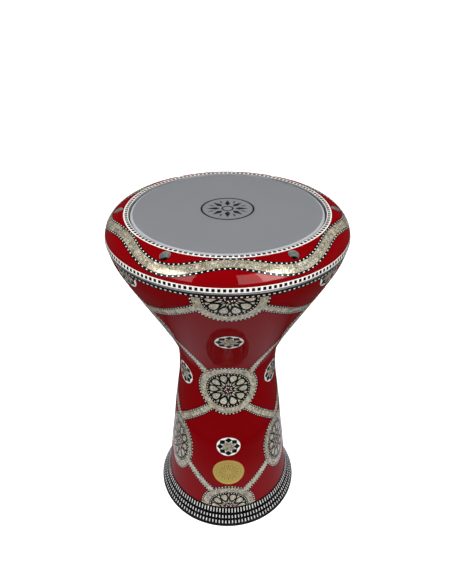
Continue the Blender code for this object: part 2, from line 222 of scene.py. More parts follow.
def pearl(name, deep, middle, light, cast_share):
    """Mother-of-pearl: soft clouds of beige, green and pink, with a tone of its own for every chip."""
    s = Shader(name, Metallic=0.30, Coat_Weight=0.5, Coat_Roughness=0.05)
    tint = s.add("Attribute", attribute_name="tint").outputs["Color"]
    split = s.add("SeparateColor", {"Color": tint})
    tone, hue, twist = (split.outputs[i] for i in range(3))
    place = s.place()
    shifted = s.add("VectorMath", {0: place, 1: tint}, operation="ADD").outputs[0]

    def cloud(source, scale, detail, distortion=0.0):
        values = {"Scale": scale, "Detail": detail, "Roughness": 0.6, "Distortion": distortion}
        return s.add("TexNoise", {"Vector": source}, values).outputs["Fac"]

    depth = s.mix(0.62, tone, s.scaled(cloud(place, 260.0, 4.0, 1.2), -1.2, 2.2))
    base = s.ramp(depth, (0.0, linear(*deep)), (0.35, linear(*middle)), (0.7, linear(*light)),
                  (1.0, linear(255, 250, 240)))
    turn = s.mix(0.55, hue, s.scaled(cloud(place, 130.0, 2.0, 0.6), -0.9, 1.9))
    cast = s.ramp(turn, (0.0, linear(232, 178, 138)), (0.25, linear(240, 226, 194)),
                  (0.5, linear(190, 206, 170)), (0.75, linear(204, 212, 208)), (1.0, linear(240, 200, 190)))
    colour = s.mix(cast_share, base, cast)
    grain = cloud(shifted, 420.0, 4.0, 1.4)
    colour = s.mix(s.ramp(grain, (0.48, grey(0.0)), (0.68, grey(0.8))), colour, linear(104, 90, 62))
    # Near-white specks mixed into the colour are painted glints.
    painted_glint = cloud(shifted, 900.0, 2.0)
    colour = s.mix(s.ramp(painted_glint, (0.57, grey(0.0)), (0.64, grey(0.95))), colour, linear(255, 250, 238))
    s.colour(colour)
    s.roughness(twist, 0.16, 0.42)
    s.bump(grain, 0.00003, 0.4)
    return s.material


def paint(name, dark, light, low, high, **values):
    """Plain inlay or paint with slight mottling; low and high are its roughness."""
    s = Shader(name, **{"Coat_Weight": 0.3, "Coat_Roughness": 0.05, **values})
    s.colour(s.ramp(s.noise(260.0, 4.0), (0.3, linear(*dark)), (0.7, linear(*light))))
    s.roughness(s.noise(700.0), low, high)
    s.bump(s.noise(900.0, 2.0), 0.00001, 0.3)
    return s.material


def film():
    """Matte film: flat grey with a painted highlight on its rim, where it turns over the bearing edge."""
    s = Shader("grey_film", Specular_IOR_Level=0.3)
    # The pale rim colour is a painted highlight of the bend over the bearing edge.
    edge = s.scaled(s.radius(), 0.0, 1.0, *FILM_HIGHLIGHT_RADII)
    body = s.ramp(s.noise(7.0, 3.0), (0.3, (0.202, 0.210, 0.224, 1)), (0.7, (0.218, 0.226, 0.240, 1)))
    speck = s.mix(s.scaled(s.noise(2600.0, 2.0), 0.0, 0.10), body, (0.33, 0.34, 0.36, 1))
    s.colour(s.mix(edge, speck, (0.47, 0.49, 0.52, 1)))
    s.roughness(s.noise(1800.0), 0.44, 0.60)
    s.bump(s.noise(3000.0, 2.0), 0.00002, 0.35)
    return s.material


def metal(name, dark, light, low, high, scale=600.0, stretch=(1.0, 1.0, 1.0), depth=0.00002, **values):
    """Grained metal; low and high are its roughness."""
    s = Shader(name, **{"Metallic": 1.0, **values})
    grain = s.noise(scale, 4.0, 0.6, stretch)
    s.colour(s.ramp(grain, (0.3, linear(*dark)), (0.7, linear(*light))))
    s.roughness(grain, low, high)
    s.bump(grain, depth, 0.4)
    return s.material


LACQUER = red_lacquer()
INLAYS = (
    paint("black_inlay", (5, 5, 6), (13, 12, 13), 0.22, 0.34, Coat_Weight=0.08, Specular_IOR_Level=0.12),
    pearl("pearl", (92, 80, 54), (166, 152, 122), (220, 208, 184), 0.36),
    paint("white_inlay", (246, 242, 236), (255, 254, 250), 0.25, 0.38),
    paint("red_inlay", (120, 6, 6), (158, 14, 10), 0.25, 0.38),
)
FOOT_INLAYS = (
    paint("foot_black", (3, 3, 4), (9, 9, 10), 0.22, 0.34, Coat_Weight=0.04, Specular_IOR_Level=0.06),
    INLAYS[PEARL],
    paint("foot_tick", (186, 186, 184), (240, 240, 238), 0.25, 0.38),
)
# Darker pearl: the ribbon's and the rosettes' own deeper tone, and painted shade on the foot and stem
# medallions low on the body.
DEEP_PEARL_AND_SHADE = pearl("deep_pearl_and_painted_shade", (48, 38, 22), (112, 99, 72), (182, 168, 140), 0.24)
DARK_AND_SHADED_INLAYS = (INLAYS[BLACK], DEEP_PEARL_AND_SHADE, INLAYS[WHITE], INLAYS[RED])
FILM = film()
PRINT = paint("film_print", (8, 8, 9), (18, 18, 19), 0.45, 0.55, Coat_Weight=0.0, Specular_IOR_Level=0.1)
GOLD = metal("gold", (190, 164, 80), (216, 194, 112), 0.34, 0.46, 900.0, (1.0, 1.0, 14.0), Metallic=0.55)
ENGRAVING = metal("gold_engraving", (132, 110, 50), (164, 140, 70), 0.40, 0.60, 900.0, Metallic=0.55)
BARE_METAL = metal("bare_aluminium", (168, 168, 170), (214, 214, 216), 0.24, 0.40, 500.0, (1.0, 1.0, 9.0))
POCKET_METAL = paint("pocket_metal", (132, 142, 137), (188, 196, 192), 0.22, 0.34, Metallic=0.30)
SEAM_METAL = paint("seam_metal", (84, 84, 86), (112, 112, 114), 0.40, 0.55)
CAST_METAL = metal("cast_aluminium", (120, 121, 124), (172, 173, 176), 0.50, 0.70, 240.0, depth=0.00030)
SCREW_STEEL = metal("black_steel", (8, 8, 9), (22, 22, 24), 0.28, 0.42, 800.0)
ZINC = metal("zinc", (150, 152, 156), (196, 198, 202), 0.30, 0.46, 700.0)
# Black for the foot's lowest edge, and a painted shadow line on the ring's chamfer under its widest circle.
BLACK_RIM_AND_SHADOW_LINE = paint("black_rim_and_painted_shadow", (6, 6, 7), (16, 15, 16), 0.30, 0.45, Coat_Weight=0.08, Specular_IOR_Level=0.12)


# Turned surfaces.

def station_radii(heights):
    """Smooth radii through BODY_STATIONS (cubic pieces with averaged end slopes)."""
    z = np.array([s[0] for s in BODY_STATIONS])
    r = np.array([s[1] for s in BODY_STATIONS])
    before = np.maximum(np.arange(len(z)) - 1, 0)
    after = np.minimum(np.arange(len(z)) + 1, len(z) - 1)
    slope = (r[after] - r[before]) / (z[after] - z[before])
    i = np.clip(np.searchsorted(z, heights, side="right") - 1, 0, len(z) - 2)
    step = z[i + 1] - z[i]
    t = (heights - z[i]) / step
    return ((2 * t**3 - 3 * t**2 + 1) * r[i] + (t**3 - 2 * t**2 + t) * step * slope[i]
            + (3 * t**2 - 2 * t**3) * r[i + 1] + (t**3 - t**2) * step * slope[i + 1])


class Outline:
    """Half section of a turned surface, walked by arc length in millimetres."""

    def __init__(self, radii, heights):
        self.r, self.z = np.asarray(radii), np.asarray(heights)
        self.arc = np.concatenate(([0.0], np.cumsum(np.hypot(np.diff(self.r), np.diff(self.z))))) / MM
        dr, dz = np.gradient(self.r, self.arc), np.gradient(self.z, self.arc)
        length = np.hypot(dr, dz)
        self.out, self.up = dz / length, -dr / length

    def arc_at(self, height):
        return float(np.interp(height, self.z, self.arc))

    def radius_mm(self, arc):
        return float(np.interp(arc, self.arc, self.r)) / MM

    def place(self, angles, arcs, lifts_mm):
        lift = np.asarray(lifts_mm) * MM
        r = np.interp(arcs, self.arc, self.r) + np.interp(arcs, self.arc, self.out) * lift
        z = np.interp(arcs, self.arc, self.z) + np.interp(arcs, self.arc, self.up) * lift
        a = np.radians(angles)
        return np.stack((r * np.sin(a), -r * np.cos(a), z), -1)


BODY_HEIGHTS = np.linspace(FOOT_TOP, SHELL_TOP, 1200)
BODY = Outline(station_radii(BODY_HEIGHTS), BODY_HEIGHTS)
FOOT = Outline((FOOT_RADIUS, FOOT_TOP_RADIUS), (0.0, FOOT_TOP))
RING_TURNS = np.radians(np.linspace(0.0, 100.0, 400))
RING = Outline(RING_ARC_CENTRE + RING_ARC_RADIUS * np.cos(RING_TURNS),
               RING_EQUATOR + RING_ARC_RADIUS * np.sin(RING_TURNS))
# The flat head runs inwards, almost to the axis. Its rise is far too small to see.
HEAD = Outline((FILM_FLAT_RADIUS, 0.0005), (FILM_TOP, FILM_TOP + 1e-9))


# Plane figures, meshes and objects.

def clip(loop, limit, keep):
    """Part of a local polygon above (keep=1) or below (keep=-1) the line y = limit."""
    result = []
    for (x0, y0), (x1, y1) in zip(loop, loop[1:] + loop[:1]):
        inside, following = (y0 - limit) * keep >= 0, (y1 - limit) * keep >= 0
        if inside:
            result.append((x0, y0))
        if inside != following:
            t = (limit - y0) / (y1 - y0)
            result.append((x0 + (x1 - x0) * t, limit))
    return result


def area(loop):
    """Area inside a local polygon."""
    return abs(sum(x0 * y1 - x1 * y0 for (x0, y0), (x1, y1) in zip(loop, loop[1:] + loop[:1]))) / 2


def polar(radius, angle):
    return radius * cos(radians(angle)), radius * sin(radians(angle))


def around(radius, angle):
    """(x, y) at an angle round the drum, from -Y towards +X."""
    return radius * sin(radians(angle)), -radius * cos(radians(angle))


def turned(loop, angle):
    """Local polygon turned about the pattern's centre."""
    c, s = polar(1.0, angle)
    return [(x * c - y * s, x * s + y * c) for x, y in loop]


def mirrored(half):
    """Closed outline about the x axis from the points on its upper side, given from the inside out."""
    return [(x, -y) for x, y in half] + [(x, y) for x, y in reversed(half) if y > 0]


def bead(middle, along, across):
    """Six-sided bead on the x axis."""
    return [(middle + along * cos(radians(60 * k)), across * sin(radians(60 * k)))
            for k in range(6)]


def new_mesh(name, points, faces, materials, indices=None):
    mesh = bpy.data.meshes.new(name)
    mesh.from_pydata(points, [], faces)
    for material in materials:
        mesh.materials.append(material)
    if indices:
        mesh.polygons.foreach_set("material_index", indices)
    return mesh


def new_object(name, data):
    obj = bpy.data.objects.new(name, data)
    bpy.context.scene.collection.objects.link(obj)
    return obj


# Inlay solids.

SPLITS_OF_LARGE_TILE = 4


class Inlay:
    """Closed tiles on one turned surface, gathered into one mesh with per-tile tints."""

    def __init__(self, outline, materials=INLAYS):
        self.outline, self.materials = outline, materials
        self.points, self.faces, self.kinds, self.tints, self.smooth = [], [], [], [], []

    def face(self, face, kind, tint, smooth=False):
        self.faces.append(face)
        self.kinds.append(kind)
        self.tints.append(tint)
        self.smooth.append(smooth)

    def followed(self, loop):
        """Loop of (angle, arc) points with its long edges split, so that they follow the curve."""
        points = []
        for (a0, s0), (a1, s1) in zip(loop, loop[1:] + loop[:1]):
            across = radians(a1 - a0) * self.outline.radius_mm((s0 + s1) / 2)
            pieces = ceil(hypot(across, s1 - s0) / SPAN_MM)
            points += [(a0 + (a1 - a0) * k / pieces, s0 + (s1 - s0) * k / pieces) for k in range(pieces)]
        return points

    def tile(self, loop, top, kind, tint=None):
        """Prism over (angle, arc) points, with a middle point and, if large, a loop half way in."""
        tint = tint or (random.random(), random.random(), random.random())
        rim = self.followed(loop)
        count, start = len(rim), len(self.points)
        middle = (sum(p[0] for p in loop) / len(loop), sum(p[1] for p in loop) / len(loop))
        self.points += [(a, s, top) for a, s in rim] + [(*middle, top)]
        self.points += [(a, s, BURIED) for a, s in rim] + [(*middle, BURIED)]
        under, inner = start + count + 1, start
        if count >= len(loop) + SPLITS_OF_LARGE_TILE:
            inner = len(self.points)
            self.points += [((a + middle[0]) / 2, (s + middle[1]) / 2, top) for a, s in rim]
        for i in range(count):
            j = (i + 1) % count
            if inner > start:
                self.face((start + i, start + j, inner + j, inner + i), kind, tint)
            self.face((inner + i, inner + j, start + count), kind, tint)
            self.face((under + j, under + i, under + count), kind, tint)
            self.face((start + i, under + i, under + j, start + j), kind, tint)

    def sheet(self, rows, top, kind, closed=False, middle=None, low=BURIED):
        """Thin solid over a grid of (angle, arc) rows; middle closes the first row to a point."""
        columns, count, tint = len(rows[0]), len(rows), PLAIN_TINT
        spans = columns if closed else columns - 1
        start = len(self.points)
        for lift in (top, low):
            self.points += [(a, s, lift) for row in rows for a, s in row]
            if middle:
                self.points.append((*middle, lift))
        under = start + (len(self.points) - start) // 2
        for base, flip in ((start, 1), (under, -1)):
            for k in range(count - 1):
                for i in range(spans):
                    this, following = base + k * columns + i, base + k * columns + (i + 1) % columns
                    face = (this, following, following + columns, this + columns)
                    self.face(face[::flip], kind, tint, True)
            if middle:
                for i in range(spans):
                    face = (base + (i + 1) % columns, base + i, base + columns * count)
                    self.face(face[::flip], kind, tint, True)

        def wall(cells):
            for a, b in zip(cells, cells[1:]):
                self.face((start + a, under + a, under + b, start + b), kind, tint)

        rim = [i % columns for i in range(spans + 1)]
        last = (count - 1) * columns
        wall([last + i for i in reversed(rim)])
        if not middle:
            wall(rim)
        if not closed:
            wall([k * columns for k in range(count - 1, -1, -1)])
            wall([k * columns + columns - 1 for k in range(count)])

    def build(self, name, body, slot, replaced=()):
        angles, arcs, lifts = np.array(self.points).T
        used = sorted(set(self.kinds))
        mesh = new_mesh(name, self.outline.place(angles, arcs, lifts).tolist(), self.faces,
                        [self.materials[kind] for kind in used], [used.index(kind) for kind in self.kinds])
        mesh.polygons.foreach_set("use_smooth", self.smooth)
        colours = mesh.color_attributes.new("tint", "FLOAT_COLOR", "CORNER")
        values = [(*tint, 1.0) for face, tint in zip(self.faces, self.tints) for _ in face]
        colours.data.foreach_set("color", np.array(values).ravel())
        mesh.set_sharp_from_angle(angle=radians(40))
        return piece(name, mesh, body, replaced)


def piece(name, mesh, body, replaced=()):
    """Named piece of the drum that moves with a CAD body and stands for the CAD nodes it replaces."""
    obj = new_object(name, mesh)
    work = bmesh.new()
    work.from_mesh(mesh)
    bmesh.ops.recalc_face_normals(work, faces=work.faces)
    work.to_mesh(mesh)
    work.free()
    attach(obj, body)
    if replaced:
        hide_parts(*replaced)
    return obj


class Site:
    """Local millimetre coordinates about a pattern centre on a turned surface, for drawing in its inlay."""

    def __init__(self, outline, angle, height, stretch=(1.0, 1.0), limit=None, keep=1):
        self.outline, self.angle, self.stretch, self.inlay = outline, angle, stretch, None
        self.arc = outline.arc_at(height)
        self.limit = None if limit is None else (outline.arc_at(limit) - self.arc) / stretch[1]
        self.keep = keep

    def bend(self, x, y):
        arc = self.arc + y * self.stretch[1]
        return self.angle + degrees(x * self.stretch[0] / self.outline.radius_mm(arc)), arc

    def count(self, radius, pitch):
        """How many marks of one pitch fit round a circle of this radius."""
        return round(2 * pi * radius * sum(self.stretch) / 2 / pitch)

    def tile(self, loop, top, kind, tint=None):
        if self.limit is not None:
            loop = clip(loop, self.limit, self.keep)
            if len(loop) < 3 or area(loop) < SMALLEST_TILE_MM2:
                return
        self.inlay.tile([self.bend(x, y) for x, y in loop], top, kind, tint)

    def ring(self, inner, outer, top, kind, low=BURIED):
        """Ring or disc from radius inner to outer, cut square at the site's limit."""
        rows = ceil((outer - inner) * max(self.stretch) / SPAN_MM)
        columns = max(32, 2 * ceil(pi * outer * max(self.stretch) / SPAN_MM))
        whole = self.limit is None
        if whole:
            first, turn = 0.0, 360.0
        else:
            shut = degrees(asin(min(1.0, self.limit * self.keep / outer)))
            first = shut if self.keep > 0 else 180.0 + shut
            turn = 180.0 - 2 * shut
            columns = columns // 2
        angles = [first + turn * i / columns for i in range(columns if whole else columns + 1)]

        def start(angle):
            if whole:
                return inner
            rise = abs(sin(radians(angle)))
            return min(outer, max(inner, abs(self.limit) / max(rise, 1e-6)))

        solid = whole and inner == 0.0
        grid = []
        for k in range(1 if solid else 0, rows + 1):
            grid.append([self.bend(*polar(start(a) + (outer - start(a)) * k / rows, a)) for a in angles])
        middle = self.bend(0.0, 0.0) if solid else None
        self.inlay.sheet([row[::-1] for row in grid], top, kind, whole, middle, low)


def jittered(loop, amount=0.10):
    """Loop with each corner moved a little at random, as in a hand-laid chip."""
    return [(x + random.uniform(-amount, amount), y + random.uniform(-amount, amount)) for x, y in loop]


def arc_cell(inner, outer, first, last, gap=0.06):
    """Polygon between two radii and two angles, drawn in by half a gap."""
    inner, outer = inner + gap / 2, outer - gap / 2
    cell = []
    corners = ((inner, first), (outer, first), (outer, (first + last) / 2), (outer, last), (inner, last))
    for radius, turn in corners:
        trim = degrees(gap / 2 / radius)
        shift = trim if turn == first else -trim if turn == last else 0.0
        cell.append(polar(radius, turn + shift))
    return cell


# Medallions and rosettes.

PETAL = mirrored([(12.8, 0.0), (14.8, 1.9), (17.2, 3.5), (19.6, 4.2), (21.7, 4.05), (23.3, 2.9), (24.2, 1.1)])
LONG_KITE = mirrored([(7.6, 0.0), (9.4, 1.25), (15.4, 0.0)])
SHORT_KITE = mirrored([(6.4, 0.0), (8.2, 0.95), (11.2, 0.0)])
RIM_WEDGE = mirrored([(20.4, 0.0), (24.2, 1.6), (25.0, 0.9)])
FIELD_BEAD = bead(27.05, 0.72, 0.66)
PETAL_COUNT, BEAD_COUNT = 10, 44
# Rings of cells about the middle: inner and outer radius, number of cells and their colours.
EYE_RINGS = ((1.1, 2.5, 6, (RED, BLACK)), (2.7, 4.1, 10, (WHITE, BLACK)),
             (4.3, 5.6, 20, (RED, BLACK, WHITE, BLACK)))
EYE_GAP = 0.25
FRAME_RINGS = (FIELD_MM + 0.35, 31.6, 34.6, FRAME_MM - 0.30)
EDGING_TICK = (FRAME_MM + 0.65, EDGING_MM - 0.60)
FRAME_PITCH, EDGING_PITCH, EDGING_DUTY = 3.3, 4.6, 0.36


def build_field(site):
    """Ten-petalled rosette of black lines and pearl, with a ring of white beads."""
    site.ring(0.0, FIELD_MM, FRAME_LOW, BLACK)
    step = 360.0 / PETAL_COUNT
    for i in range(PETAL_COUNT):
        pale = (random.uniform(0.85, 1.0), random.uniform(0.5, 0.85), random.random())
        site.tile(turned(PETAL, step * i), FRAME_TOP, PEARL, pale)
        for loop, turn in ((LONG_KITE, 0.5), (SHORT_KITE, 0.0), (RIM_WEDGE, 0.5)):
            bright = (random.uniform(0.75, 1.0), random.random(), random.random())
            site.tile(turned(loop, step * (i + turn)), FRAME_TOP, PEARL, bright)
    for i in range(BEAD_COUNT):
        site.tile(turned(FIELD_BEAD, 360.0 / BEAD_COUNT * i), FRAME_TOP, WHITE)
    for inner, outer, count, kinds in EYE_RINGS:
        for i in range(count):
            cell = arc_cell(inner, outer, 360.0 / count * i, 360.0 / count * (i + 1), EYE_GAP)
            site.tile(cell, FRAME_TOP, kinds[i % len(kinds)])


def build_medallion(name, site, materials=INLAYS):
    """Field in a frame of three rings of pearl chips, with a black edging of white ticks."""
    site.inlay = Inlay(BODY, materials)
    build_field(site)
    site.ring(FIELD_MM + JOINT_MM, FRAME_MM, FRAME_LOW, BLACK)
    for inner, outer in zip(FRAME_RINGS, FRAME_RINGS[1:]):
        count = site.count((inner + outer) / 2, FRAME_PITCH)
        offset = random.random() * 360.0
        for i in range(count):
            cell = arc_cell(inner, outer, offset + 360.0 / count * i, offset + 360.0 / count * (i + 1))
            site.tile(jittered(cell), FRAME_TOP, PEARL)
    site.ring(FRAME_MM + JOINT_MM, EDGING_MM, EDGING_LOW, BLACK)
    count = site.count((FRAME_MM + EDGING_MM) / 2, EDGING_PITCH)
    for i in range(count):
        first = 360.0 / count * i
        cell = arc_cell(*EDGING_TICK, first, first + 360.0 / count * EDGING_DUTY, 0.0)
        site.tile(cell, EDGING_TOP, WHITE)
    site.inlay.build(name + "_inlay", "shell", "pearl", [name])


DIAMOND = mirrored([(6.9, 0.0), (10.5, 4.1), (11.7, 4.6), (15.5, 0.0)])
STAR_KITE = [(0.0, 0.0), polar(6.7, -22.0), (9.6, 0.0), polar(6.7, 22.0)]
ROSETTE_POINTS = 8
ROSETTE_RIM_MM = 0.35


def build_rosette(name, site):
    """Small white disc with eight black diamonds round a pearl star."""
    site.inlay = Inlay(BODY, DARK_AND_SHADED_INLAYS)
    rim = ROSETTE_MM - ROSETTE_RIM_MM
    site.ring(0.0, rim, FRAME_LOW, WHITE)
    site.ring(rim + JOINT_MM, ROSETTE_MM, FRAME_LOW - 0.02, BLACK)
    step = 360.0 / ROSETTE_POINTS
    for i in range(ROSETTE_POINTS):
        site.tile(turned(DIAMOND, step * i), FRAME_TOP, BLACK)
        tint = (random.uniform(0.0, 0.35), random.choice((0.0, 0.95, 0.7)), random.random())
        site.tile(turned(STAR_KITE, step * (i + 0.5)), FRAME_TOP, PEARL, tint)
    site.inlay.build(name + "_inlay", "shell", "white_and_black", [name])


def top_site(angle):
    """Site of a pattern whose upper half runs under the shell's edge band."""
    return Site(BODY, angle, TOP_Z, limit=SHELL_BAND_BOTTOM - BAND_CLEARANCE, keep=-1)


for number, angle in enumerate(FRONT_COLUMNS, start=1):
    build_medallion(f"medallion_top_{number}", top_site(angle))
    build_medallion(f"medallion_waist_{number}", Site(BODY, angle, WAIST_Z))
    # The foot medallions take the darker pearl as painted shade.
    build_medallion(f"medallion_foot_{number}", Site(BODY, angle, FOOT_Z, limit=FOOT_TOP + 0.0001),
                    DARK_AND_SHADED_INLAYS)
    build_rosette(f"rosette_cone_{number}", Site(BODY, angle, CONE_ROSETTE_Z))
    build_rosette(f"rosette_stem_{number}", Site(BODY, angle, STEM_ROSETTE_Z))
for number, angle in enumerate(SIDE_COLUMNS, start=1):
    build_medallion(f"medallion_cone_{number}", Site(BODY, angle, HIGH_SIDE_Z, SIDE_STRETCH))
    # The stem medallions take the darker pearl as painted shade.
    build_medallion(f"medallion_stem_{number}", Site(BODY, angle, LOW_SIDE_Z, SIDE_STRETCH), DARK_AND_SHADED_INLAYS)
for number, angle in enumerate(WAIST_ROSETTES, start=1):
    build_rosette(f"rosette_waist_{number}", Site(BODY, angle, WAIST_ROSETTE_Z))
for number, angle in enumerate(SEAM_ROSETTES, start=1):
    build_rosette(f"rosette_seam_{number}", top_site(angle))


# Bands.

class Route:
    """Centre line of a band on a turned surface: (angle, arc) points with a running length in mm."""

    def __init__(self, outline, angles, arcs, closed=False):
        self.outline, self.closed = outline, closed
        self.angles, self.arcs = np.asarray(angles), np.asarray(arcs)
        radii = np.interp(self.arcs, outline.arc, outline.r) / MM
        da = np.gradient(np.radians(self.angles)) * radii
        ds = np.gradient(self.arcs)
        length = np.hypot(da, ds)
        self.side = np.stack((-ds / length, da / length))
        steps = (length[1:] + length[:-1]) / 2
        self.run = np.concatenate(([0.0], np.cumsum(steps)))
        self.length = float(self.run[-1])

    def at(self, run, offset):
        angle, arc = np.interp(run, self.run, self.angles), np.interp(run, self.run, self.arcs)
        across, along = np.interp(run, self.run, self.side[0]), np.interp(run, self.run, self.side[1])
        arc += along * offset
        return float(angle + degrees(across * offset / self.outline.radius_mm(arc))), float(arc)

    def box(self, first, last, low, high):
        return [self.at(first, low), self.at(last, low), self.at(last, high), self.at(first, high)]


BandStyle = namedtuple("BandStyle", "half_pearl half_width chip_pitch dot_pitch half_dot")
LATTICE_STYLE = BandStyle(half_pearl=3.5, half_width=6.1, chip_pitch=3.6, dot_pitch=4.0, half_dot=0.70)
RIBBON_STYLE = BandStyle(half_pearl=4.5, half_width=7.0, chip_pitch=5.0, dot_pitch=5.5, half_dot=0.78)
BAND_LANES = 2
BAND_ROW_MM = 1.8
HALF_CHIP_GAP_MM = 0.03
SHORTEST_CHIP_MM = 0.6
DOT_RISE = 0.20             # half height of a dot as a share of its edging's width


def build_band(inlay, route, style):
    """Pearl band in lanes of chips between two black edgings with white dots."""
    half_pearl, half_width, pitch, dot_pitch, half_dot = style
    columns = ceil(route.length / SPAN_MM)
    runs = [route.length * i / columns for i in range(columns if route.closed else columns + 1)]
    rows = ceil(2 * half_width / BAND_ROW_MM)
    offsets = [half_width * (2 * k / rows - 1) for k in range(rows + 1)]
    grid = [[route.at(run, offset) for run in runs] for offset in offsets]
    inlay.sheet(grid, BAND_LOW, BLACK, route.closed)
    count = round(route.length / pitch)
    lane, gap = 2 * half_pearl / BAND_LANES, HALF_CHIP_GAP_MM
    for k in range(BAND_LANES):
        low = -half_pearl + lane * k
        shift = random.random() * pitch
        back = 0.0 if route.closed else shift * 0.5
        for i in range(count):
            first = max(0.0, route.length * i / count - back)
            last = route.length * (i + 1) / count - back
            if last - first > SHORTEST_CHIP_MM:
                cell = route.box(first + gap, last - gap, low + gap, low + lane - gap)
                inlay.tile(cell, BAND_TOP, PEARL)
    dots = round(route.length / dot_pitch)
    middle = (half_pearl + half_width) / 2
    rise = (half_width - half_pearl) * DOT_RISE
    for side in (-middle, middle):
        for i in range(dots):
            run = route.length * (i + 0.5) / dots
            dot = route.box(run - half_dot, run + half_dot, side - rise, side + rise)
            inlay.tile(dot, BAND_TOP, WHITE)


# Waypoints of the bands: (fraction of the way round to the side column, height).
TOP_BAND = ((0.0, 0.4198), (0.52, 0.3806), (0.77, 0.3680), (1.0, 0.3570))
WAIST_UP_BAND = ((0.0, 0.2320), (0.39, 0.2537), (0.57, 0.2746), (0.75, 0.2962), (1.0, 0.3244))
WAIST_DOWN_BAND = ((0.0, 0.2290), (0.39, 0.1980), (0.66, 0.1800), (0.90, 0.1640), (1.0, 0.1570))
FOOT_UP_BAND = ((0.0, 0.0300), (0.27, 0.0570), (0.63, 0.0860), (1.0, 0.1120))
BAND_TUCK_MM = 3.0          # how far a band runs in under a medallion's frame
TOP_BAND_STOP = 0.0070      # how far below the edge band the bands end
ROUTE_POINTS, SMOOTHING = 600, 61


def lattice_route(front, side, waypoints, start, end):
    """Smooth route between two medallions, cut where it passes under their frames."""
    fractions = np.linspace(0.0, 1.0, ROUTE_POINTS)
    heights = np.interp(fractions, [w[0] for w in waypoints], [w[1] for w in waypoints])
    reach = SMOOTHING // 2
    before = 2 * heights[0] - heights[reach:0:-1]
    after = 2 * heights[-1] - heights[-2:-reach - 2:-1]
    heights = np.convolve(np.concatenate((before, heights, after)), np.ones(SMOOTHING) / SMOOTHING, "valid")
    angles = front + (side - front) * fractions
    arcs = np.interp(heights, BODY.z, BODY.arc)
    keep = np.ones(len(angles), bool)
    for angle, height, stretch in (start, end):
        across = np.radians(angles - angle) * np.interp(arcs, BODY.arc, BODY.r) / MM / stretch[0]
        up = (arcs - BODY.arc_at(height)) / stretch[1]
        keep &= np.hypot(across, up) > FRAME_MM - BAND_TUCK_MM
    keep &= heights < SHELL_BAND_BOTTOM - TOP_BAND_STOP
    return Route(BODY, angles[keep], arcs[keep])


FRONT, REAR_RIGHT, REAR_LEFT = FRONT_COLUMNS
RIGHT, LEFT, REAR = SIDE_COLUMNS
NEIGHBOURS = ((FRONT, RIGHT), (FRONT, LEFT), (REAR_RIGHT, REAR), (REAR_RIGHT, RIGHT),
              (REAR_LEFT + 360.0, LEFT + 360.0), (REAR_LEFT + 360.0, REAR))
for number, (front, side) in enumerate(NEIGHBOURS, start=1):
    inlay = Inlay(BODY)
    for waypoints, height, far_height in (
            (TOP_BAND, TOP_Z, HIGH_SIDE_Z), (WAIST_UP_BAND, WAIST_Z, HIGH_SIDE_Z),
            (WAIST_DOWN_BAND, WAIST_Z, LOW_SIDE_Z), (FOOT_UP_BAND, FOOT_Z, LOW_SIDE_Z)):
        route = lattice_route(front, side, waypoints, (front, height, (1.0, 1.0)),
                              (side, far_height, SIDE_STRETCH))
        build_band(inlay, route, LATTICE_STYLE)
    inlay.build(f"lattice_bands_{number}", "shell", "pearl")

RIBBON_WAVES, RIBBON_MIDDLE_MM, RIBBON_AMPLITUDE_MM = 6, 22.8, 7.1
ribbon_angles = np.linspace(0.0, 360.0, 1441)
ribbon_waves = np.cos(np.radians(RIBBON_WAVES * (ribbon_angles - FRONT)))
ribbon_arcs = RIBBON_MIDDLE_MM + RIBBON_AMPLITUDE_MM * ribbon_waves
ribbon = Inlay(RING, DARK_AND_SHADED_INLAYS)
build_band(ribbon, Route(RING, ribbon_angles, ribbon_arcs, closed=True), RIBBON_STYLE)
ribbon.build("ring_ribbon_inlay", "tuning_ring", "pearl", ["ring_ribbon"])

TURNED_COLUMNS, TURNED_ROW_MM = 320, 1.2


def turned_band(inlay, low, high, kind):
    """Plain band all the way round, from arc length low to high."""
    count = ceil((high - low) / TURNED_ROW_MM)
    rows = [[(360.0 * i / TURNED_COLUMNS, low + (high - low) * k / count) for i in range(TURNED_COLUMNS)]
            for k in range(count + 1)]
    inlay.sheet(rows, EDGING_LOW, kind, True)


def ticks(inlay, low, high, kind, count, duty):
    """Row of marks all the way round; duty is a mark's share of its pitch."""
    step = 360.0 / count
    for i in range(count):
        a, b = step * (i + 0.5 - duty / 2), step * (i + 0.5 + duty / 2)
        inlay.tile([(a, low), (b, low), (b, high), (a, high)], EDGING_TOP, kind)


BAND_END_MM = 0.05          # bare edge left above a band
foot_band = Inlay(FOOT, FOOT_INLAYS)
turned_band(foot_band, FOOT.arc_at(FOOT_RIM), FOOT.arc_at(FOOT_TOP) - BAND_END_MM, BLACK)
for low, high in ((4.9, 9.3), (12.8, 17.0), (21.0, 27.4)):
    ticks(foot_band, low, high, WHITE, count=132, duty=0.34)
foot_band.build("foot_band_inlay", "shell", "black_band", ["foot_band"])

shell_band = Inlay(BODY)
shell_band_low = BODY.arc_at(SHELL_BAND_BOTTOM)
turned_band(shell_band, shell_band_low, BODY.arc_at(SHELL_TOP - SEAM_CHAMFER) - BAND_END_MM, BLACK)
ticks(shell_band, shell_band_low + 1.3, shell_band_low + 2.6, WHITE, count=162, duty=0.42)
shell_band.build("shell_edge_band_inlay", "shell", "black_band", ["shell_edge_band"])

ring_band = Inlay(RING)
turned_band(ring_band, 0.08, 5.55, WHITE)
ticks(ring_band, 1.25, 4.55, BLACK, count=162, duty=0.56)
ring_band.build("ring_edge_band_inlay", "tuning_ring", "white_and_black", ["ring_edge_band"])

lip_band = Inlay(RING)
turned_band(lip_band, 37.2, 42.5, WHITE)
# The black strip along the lip's inner edge is painted shadow of the gap between the ring and the head.
turned_band(lip_band, 42.5 + JOINT_MM, 43.2, BLACK)
ticks(lip_band, 38.6, 41.7, BLACK, count=130, duty=0.66)
lip_band.build("ring_lip_band_inlay", "tuning_ring", "white_and_black", ["ring_lip_band"])


# Badge: a gold disc with a raised rim, beads and a plain engraved flower.

